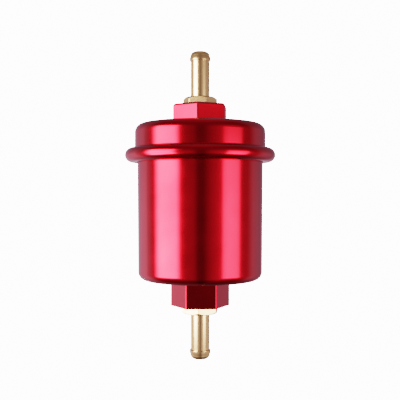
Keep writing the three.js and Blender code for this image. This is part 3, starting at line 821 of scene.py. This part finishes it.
def pleat_ring(fold, valley, height):
    """One side of the folded cloth: round folds of those radii outside and inside. The first fold, which
    the seam strip holds, stands straight, and each of the others sways by its own amount."""
    ring = []
    rise = (height - MEDIA_LOW) / (MEDIA_HIGH - MEDIA_LOW)
    outer, inner = PLEAT_REACH - FOLD_HALF, PLEAT_INNER + VALLEY_HALF + CLOTH_THICKNESS
    for k in range(PLEATS):
        amount = 0 if k == 0 else PLEAT_SWAY * math.sin(SWAY_STEP * k)
        sway = amount * math.sin(2 * math.pi * rise + SWAY_PHASE * k)
        tip = 2 * math.pi * k / PLEATS + sway
        for centre, radius, angle, start, end in (
            (outer, fold, tip, -90, 90),
            (inner, valley, tip + math.pi / PLEATS, -90, -270),
        ):
            for along, across in arc(centre, 0, radius, start, end, steps=6):
                x = along * math.cos(angle) - across * math.sin(angle)
                y = along * math.sin(angle) + across * math.cos(angle)
                ring.append((x, y, height))
    return ring


def make_cloth():
    """The filter cloth, folded into pleats."""
    step = (MEDIA_HIGH - MEDIA_LOW) / PLEAT_LEVELS
    heights = [MEDIA_LOW + step * i for i in range(PLEAT_LEVELS + 1)]
    rings = [pleat_ring(FOLD_HALF, VALLEY_HALF, height) for height in heights]
    thinner, wider = FOLD_HALF - CLOTH_THICKNESS, VALLEY_HALF + CLOTH_THICKNESS
    rings += [pleat_ring(thinner, wider, height) for height in reversed(heights)]
    cloth = soften(loft("pleats", rings, CLOTH), width=0.04, segments=1, angle=60)
    put(cloth, BOWL, "wire_mesh", "element_pleated_mesh")


def make_seam():
    """The folded strip over the cloth's seam, crimped at even steps."""
    levels = 4 * CRIMPS
    rings = []
    for i in range(levels + 1):
        squeeze = CRIMP if i % 4 in (2, 3) else 0.0
        height = SEAM_LOW + (SEAM_HIGH - SEAM_LOW) * i / levels
        outer, face = SEAM_HALF - squeeze, SEAM_REACH - SEAM_SHEET
        inner, foot = outer - SEAM_SHEET, SEAM_REACH - SEAM_DEPTH
        outline = [(foot, -outer), (SEAM_REACH, -SEAM_HALF), (SEAM_REACH, SEAM_HALF), (foot, outer)]
        outline += [(foot, inner), (face, inner), (face, -inner), (foot, -inner)]
        rings.append([(x, y, height) for x, y in outline])
    seam = soften(strand("seam_strip", rings, STEEL), width=0.1, segments=2, angle=40)
    put(seam, BOWL, "steel", "element_seam_clip")


def cell_points(middle, half_height, angle, half_step):
    """Rings of one cell of the tube: its border and its hole on the outside, then both on the inside."""
    points = []
    for radius in (CORE_RADIUS, CORE_RADIUS - CORE_WALL):
        for across, up in CELL:
            points.append(round_point(radius, angle + half_step * across, middle + half_height * up))
        for across, up in CELL:
            turn = math.atan2(up, across)
            swing = math.asin(CORE_HOLE_RADIUS * math.cos(turn) / CORE_RADIUS)
            height = middle + CORE_HOLE_RADIUS * math.sin(turn)
            points.append(round_point(radius, angle + swing, height))
    return points


def cell_faces(start, tube_end):
    """Faces of a cell outside, inside and in its hole. tube_end is -1 or 1 where the cell's lower or upper
    edge is an end of the tube."""
    count = len(CELL)
    a, b, c, d = (start + count * layer for layer in range(4))
    faces = []
    for i in range(count):
        j = (i + 1) % count
        faces.append((a + i, a + j, b + j, b + i))
        faces.append((c + i, d + i, d + j, c + j))
        faces.append((b + i, b + j, d + j, d + i))
        if CELL[i][1] == CELL[j][1] == tube_end:
            faces.append((a + i, c + i, c + j, a + j))
    return faces


def make_core():
    """A tube pierced by rows of round holes, each row half a step round from the last."""
    half_height = (CORE_HIGH - CORE_LOW) / CORE_ROWS / 2
    half_step = math.pi / CORE_HOLES
    tube_ends = {0: -1, CORE_ROWS - 1: 1}
    points, faces = [], []
    for row in range(CORE_ROWS):
        middle = CORE_LOW + half_height * (2 * row + 1)
        for k in range(CORE_HOLES):
            angle = half_step * (2 * k + row % 2)
            faces += cell_faces(len(points), tube_ends.get(row))
            points += cell_points(middle, half_height, angle, half_step)
    core = soften(mesh_piece("core_tube", points, faces, STEEL), width=0.08, segments=1, angle=50)
    put(core, BOWL, "steel", "element_core_tube")


# ---- Spring, its washer and its clip -----------------------------------------------------------------

SPRING_WIRE = 0.6
SPRING_TURNS = 4.5
SPRING_STEPS = 288
SPRING_SIDES = 14
CLOSED_SHARE = 0.2  # of the wire, in each flat end coil
CLOSED_CLIMB = 0.14  # of the height, climbed by each flat end coil
WASHER_BORE = 6.5
CLIP_INNER = 5.65
CLIP_OUTER = 7.9
CLIP_HALF_MOUTH = 15  # degrees
CLIP_TAPER = 0.5  # width lost towards the mouth
CLIP_STEPS = 90
WASHER_TRACK = [(8.2, 0), (8.6, 0.2), (10.4, 0.2), (10.8, 0)]  # radius and depth


def spring_climb(share):
    """Share of the spring's height reached at that share of its wire."""
    if share < CLOSED_SHARE:
        return CLOSED_CLIMB * share / CLOSED_SHARE
    if share > 1 - CLOSED_SHARE:
        return 1 - CLOSED_CLIMB * (1 - share) / CLOSED_SHARE
    middle = (share - CLOSED_SHARE) / (1 - 2 * CLOSED_SHARE)
    return CLOSED_CLIMB + (1 - 2 * CLOSED_CLIMB) * middle


def make_spring():
    """A coil spring with flat end coils, which stretches between the cartridge and the washer."""
    coil = SPRING_REACH - SPRING_WIRE
    low, high = SPRING_LOW + SPRING_WIRE, SPRING_HIGH - SPRING_WIRE
    rings = []
    for i in range(SPRING_STEPS + 1):
        share = i / SPRING_STEPS
        angle = 2 * math.pi * SPRING_TURNS * share
        height = low + (high - low) * spring_climb(share)
        ring = []
        for k in range(SPRING_SIDES):
            turn = 2 * math.pi * k / SPRING_SIDES
            radius = coil + SPRING_WIRE * math.cos(turn)
            ring.append(round_point(radius, angle, height + SPRING_WIRE * math.sin(turn)))
        rings.append(ring)
    spring = soften(strand("spring", rings, WIRE), width=0.1, segments=2, angle=50)
    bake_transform(spring)
    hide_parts("element_spring")


def make_washer():
    """A stamped washer with a shallow pressed track for the spring."""
    outline = [(WASHER_BORE, WASHER_HIGH), (WASHER_BORE, WASHER_LOW)]
    outline += [(radius, WASHER_LOW + depth) for radius, depth in WASHER_TRACK]
    outline += [(WASHER_RADIUS, WASHER_LOW), (WASHER_RADIUS, WASHER_HIGH)]
    washer = soften(loft("washer", turned(outline, AROUND), STEEL), width=0.18)
    put(washer, WASHER, "steel", "spring_washer")


def make_clip():
    """A snap ring that is narrowest at its mouth."""
    rings = []
    for i in range(CLIP_STEPS + 1):
        angle = math.radians(CLIP_HALF_MOUTH + (360 - 2 * CLIP_HALF_MOUTH) * i / CLIP_STEPS)
        outer = CLIP_OUTER - CLIP_TAPER * (1 + math.cos(angle)) / 2
        section = [(CLIP_INNER, CLIP_LOW), (outer, CLIP_LOW), (outer, CLIP_HIGH), (CLIP_INNER, CLIP_HIGH)]
        rings.append([round_point(radius, angle, height) for radius, height in section])
    clip = soften(strand("snap_ring", rings, WIRE))
    put(clip, LID, "spring_steel", "washer_retaining_clip")


make_lid()
make_bowl()
make_thread("neck_thread", NECK_ROOT - RIDGE_SUNK, NECK_CREST, THREAD_START, BOWL)
make_thread("lid_thread", LID_THREAD_ROOT + RIDGE_SUNK, LID_THREAD_CREST, LID_THREAD_START, LID)
make_seal("housing_seal", SEAL_LOW, SEAL_HIGH, SEAL_REACH, AROUND, BOWL, "housing_o_ring")
make_seal("plug_seal", PLUG_SEAL_LOW, PLUG_SEAL_HIGH, PLUG_SEAL_REACH, FINE_AROUND, BOWL, "element_o_ring")
make_fitting("inlet_barb", LID_HEX_TOP, INLET_END, 1, INLET, LID, "inlet_barb_fitting")
make_fitting("outlet_barb", BOWL_HEX_LOW, OUTLET_END, -1, OUTLET, BOWL, "outlet_barb_fitting")
make_tape("inlet_tape", LID_HEX_TOP, 1, INLET, LID, "inlet_thread_tape")
make_tape("outlet_tape", BOWL_HEX_LOW, -1, OUTLET, BOWL, "outlet_thread_tape")
make_upper_cap()
make_lower_cap()
make_potting("upper_potting", "element_upper_potting", -1)
make_potting("lower_potting", "element_lower_potting", 1)
make_cloth()
make_seam()
make_core()
make_spring()
make_washer()
make_clip()


# ---- Stage, light and camera -----------------------------------------------------------------------

WHITE = 9  # brightness that the camera sees as pure white

# Brightness of the studio at eye level by direction, in degrees: 0 is the camera's side, positive right.
STUDIO_AROUND = [
    (-180, 0.5),
    (-140, 0.62),
    (-116, 0.86),
    (-110, 0.6),
    (-98, 0.54),
    (-35, 0.5),
    (-26, 0.36),
    (-12, 0.36),
    (-4, 0.13),
    (6, 0.13),
    (20, 0.4),
    (38, 0.68),
    (72, 0.42),
    (88, 0.42),
    (112, 0.48),
    (122, 0.4),
    (145, 0.25),
    (180, 0.5),
]
# Brightness towards the ground and the ceiling, and how much of eye level is seen instead, both by the
# sine of the elevation.
STUDIO_UPWARDS = [(-1, 0.02), (-0.4, 0.1), (0, 0.15), (0.8, 0.18), (1, 0.3)]
EYE_LEVEL = [
    (-1, 0.2),
    (-0.75, 0.25),
    (-0.4, 1),
    (-0.05, 1),
    (0.1, 0.65),
    (0.3, 0.4),
    (0.5, 0.15),
    (0.8, 0),
]
STUDIO_TINT = (1.0, 0.92, 1.06, 1)

# Each softbox: its radiance, and its brightness by direction in degrees and by height.
SOFTBOX_DISTANCE = 160
LEFT_RADIANCE = 17
LEFT_AROUND = [
    (-86, 0),
    (-80, 0.35),
    (-73, 0.95),
    (-63, 1),
    (-53, 0.95),
    (-42, 0.87),
    (-38.2, 0.68),
    (-31.8, 0),
]
LEFT_UPWARDS = [
    (-108, 0),
    (-78, 1),
    (-50, 1),
    (-30, 0.88),
    (-17, 0.82),
    (4, 1),
    (22, 0.93),
    (40, 0.8),
    (80, 0.7),
    (90, 0),
]
RIGHT_RADIANCE = 7.6
RIGHT_AROUND = [(35.5, 0), (39, 0.75), (46, 1), (58, 0.9), (65, 0.8), (69, 0.6), (72.5, 0)]
RIGHT_UPWARDS = [
    (-108, 0),
    (-78, 1),
    (-60, 1),
    (-17, 0.93),
    (8, 0.75),
    (16, 0.54),
    (28, 0.5),
    (36, 0.05),
    (80, 0.02),
    (90, 0),
]

CAMERA_LENS = 63
CAMERA_SENSOR = 36
CAMERA_PLACE = (-0.06, -301, -14.15)
CAMERA_PITCH = 89.63  # degrees, where 90 is level
CAMERA_RANGE = (10, 20000)

FLOOR_HEIGHT = -300
FLOOR_RADIUS = 450
FLOOR_THICKNESS = 2
FLOOR_FADE = 250  # where the floor begins to melt into the backdrop
FLOOR_GLOW = 1.2  # light that the pale floor throws back from the rest of the studio


def grey_ramp(tree, source, stops):
    """A grey that follows stops given as (value, brightness)."""
    low, high = stops[0][0], stops[-1][0]
    share = tree.nodes.new("ShaderNodeMapRange")
    share.inputs["From Min"].default_value = low
    share.inputs["From Max"].default_value = high
    tree.links.new(source, share.inputs["Value"])
    ramp = tree.nodes.new("ShaderNodeValToRGB")
    fill_ramp(ramp, [((value - low) / (high - low), grey) for value, grey in stops])
    tree.links.new(share.outputs[0], ramp.inputs[0])
    return ramp.outputs["Color"]


def mixed(tree, blend, share, first, second):
    """Two greys mixed, or multiplied with each other."""
    node = tree.nodes.new("ShaderNodeMix")
    node.data_type = "RGBA"
    node.blend_type = blend
    if share:
        tree.links.new(share, node.inputs["Factor"])
    else:
        node.inputs["Factor"].default_value = 1
    tree.links.new(first, node.inputs["A"])
    tree.links.new(second, node.inputs["B"])
    return node.outputs["Result"]


def direction(tree, place):
    """Degrees round the axis, where 0 is the camera's side and positive is right, and the height."""
    split = tree.nodes.new("ShaderNodeSeparateXYZ")
    tree.links.new(place, split.inputs[0])
    x, y, z = split.outputs
    angle = calculated(tree, "ARCTAN2", x, calculated(tree, "MULTIPLY", y, -1))
    return calculated(tree, "DEGREES", angle), z


def make_world():
    """White to the camera, and a dim grey studio to everything else."""
    world = bpy.data.worlds.new("studio")
    bpy.context.scene.world = world
    world.use_nodes = True
    tree = world.node_tree
    tree.nodes.clear()
    link = tree.links.new
    degrees, sine = direction(tree, tree.nodes.new("ShaderNodeTexCoord").outputs["Generated"])
    level = grey_ramp(tree, degrees, STUDIO_AROUND)
    poles = grey_ramp(tree, sine, STUDIO_UPWARDS)
    share = grey_ramp(tree, sine, EYE_LEVEL)
    lit = tree.nodes.new("ShaderNodeBackground")
    tint = tree.nodes.new("ShaderNodeRGB")
    tint.outputs[0].default_value = STUDIO_TINT
    grey = mixed(tree, "MIX", share, poles, level)
    link(mixed(tree, "MULTIPLY", None, grey, tint.outputs[0]), lit.inputs["Color"])
    seen = tree.nodes.new("ShaderNodeBackground")
    seen.inputs["Strength"].default_value = WHITE
    path = tree.nodes.new("ShaderNodeLightPath")
    mix = tree.nodes.new("ShaderNodeMixShader")
    out = tree.nodes.new("ShaderNodeOutputWorld")
    link(path.outputs["Is Camera Ray"], mix.inputs["Fac"])
    link(lit.outputs[0], mix.inputs[1])
    link(seen.outputs[0], mix.inputs[2])
    link(mix.outputs[0], out.inputs["Surface"])


def softbox(name, radiance, around, upwards):
    """A flat light with soft edges that faces the filter's axis. Its brightness follows around, as
    (degrees, share), and upwards, as (millimetres, share)."""
    middle = math.radians((around[0][0] + around[-1][0]) / 2)
    half_angle = math.radians(around[-1][0] - around[0][0]) / 2
    low, high = upwards[0][0], upwards[-1][0]
    light = bpy.data.lights.new(name, "AREA")
    light.shape = "RECTANGLE"
    light.size = 2 * SOFTBOX_DISTANCE * math.tan(half_angle) * MM
    light.size_y = (high - low) * MM
    light.energy = radiance * math.pi * light.size * light.size_y
    light.use_nodes = True
    tree = light.node_tree
    degrees, height = direction(tree, tree.nodes.new("ShaderNodeNewGeometry").outputs["Position"])
    sideways = grey_ramp(tree, degrees, around)
    metres = [(value * MM, share) for value, share in upwards]
    glow = mixed(tree, "MULTIPLY", None, sideways, grey_ramp(tree, height, metres))
    tree.links.new(glow, tree.nodes["Emission"].inputs["Color"])
    lamp = bpy.data.objects.new(name, light)
    bpy.context.scene.collection.objects.link(lamp)
    away = Vector((math.sin(middle), -math.cos(middle), 0))
    lamp.location = (away * SOFTBOX_DISTANCE + Vector((0, 0, (low + high) / 2))) * MM
    lamp.rotation_mode = "QUATERNION"
    lamp.rotation_quaternion = away.to_track_quat("Z", "Y")
    lamp.visible_camera = False


def pale_plaster():
    """A trowelled pale floor that melts into the white backdrop at its rim."""
    n = Nodes("pale_plaster", (0.9, 0.9, 0.9), 0.8)
    cloud = n.noise(60.0, 4.0)
    n.shade((0.84, 0.84, 0.84), (0.92, 0.92, 0.92), n.remap(cloud, 0, 1))
    n.rough(n.remap(cloud, 0.7, 0.85))
    n.bump((n.noise(8.0, 4.0), 150.0))
    n.set("Emission Color", (1, 1, 1, 1))
    n.set("Emission Strength", FLOOR_GLOW)
    clear = n.add("ShaderNodeBsdfTransparent")
    mix = n.add("ShaderNodeMixShader")
    n.link(n.remap(n.radius(), 0, 1, FLOOR_FADE * MM, FLOOR_RADIUS * MM), mix.inputs["Fac"])
    n.link(n.shader.outputs[0], mix.inputs[1])
    n.link(clear.outputs[0], mix.inputs[2])
    n.link(mix.outputs[0], n.tree.nodes["Material Output"].inputs["Surface"])
    return n.material


def make_floor():
    """A round floor, well below the filter, which the metal doesn't mirror."""
    underside = FLOOR_HEIGHT - FLOOR_THICKNESS
    outline = [(0, underside), (FLOOR_RADIUS, underside), (FLOOR_RADIUS, FLOOR_HEIGHT), (0, FLOOR_HEIGHT)]
    floor = loft("floor", turned(outline, FINE_AROUND), pale_plaster())
    floor.visible_glossy = False


def make_camera():
    """The photograph's camera, a little below the middle of the filter."""
    camera = bpy.data.cameras.new("camera")
    holder = bpy.data.objects.new("camera", camera)
    bpy.context.scene.collection.objects.link(holder)
    camera.lens = CAMERA_LENS
    camera.sensor_width = CAMERA_SENSOR
    camera.clip_start, camera.clip_end = (reach * MM for reach in CAMERA_RANGE)
    holder.location = Vector(CAMERA_PLACE) * MM
    holder.rotation_euler = (math.radians(CAMERA_PITCH), 0, 0)
    bpy.context.scene.camera = holder


make_world()
make_floor()
softbox("left_softbox", LEFT_RADIANCE, LEFT_AROUND, LEFT_UPWARDS)
softbox("right_softbox", RIGHT_RADIANCE, RIGHT_AROUND, RIGHT_UPWARDS)
make_camera()
bpy.context.scene.view_settings.view_transform = "Filmic"
bpy.context.scene.view_settings.look = "High Contrast"
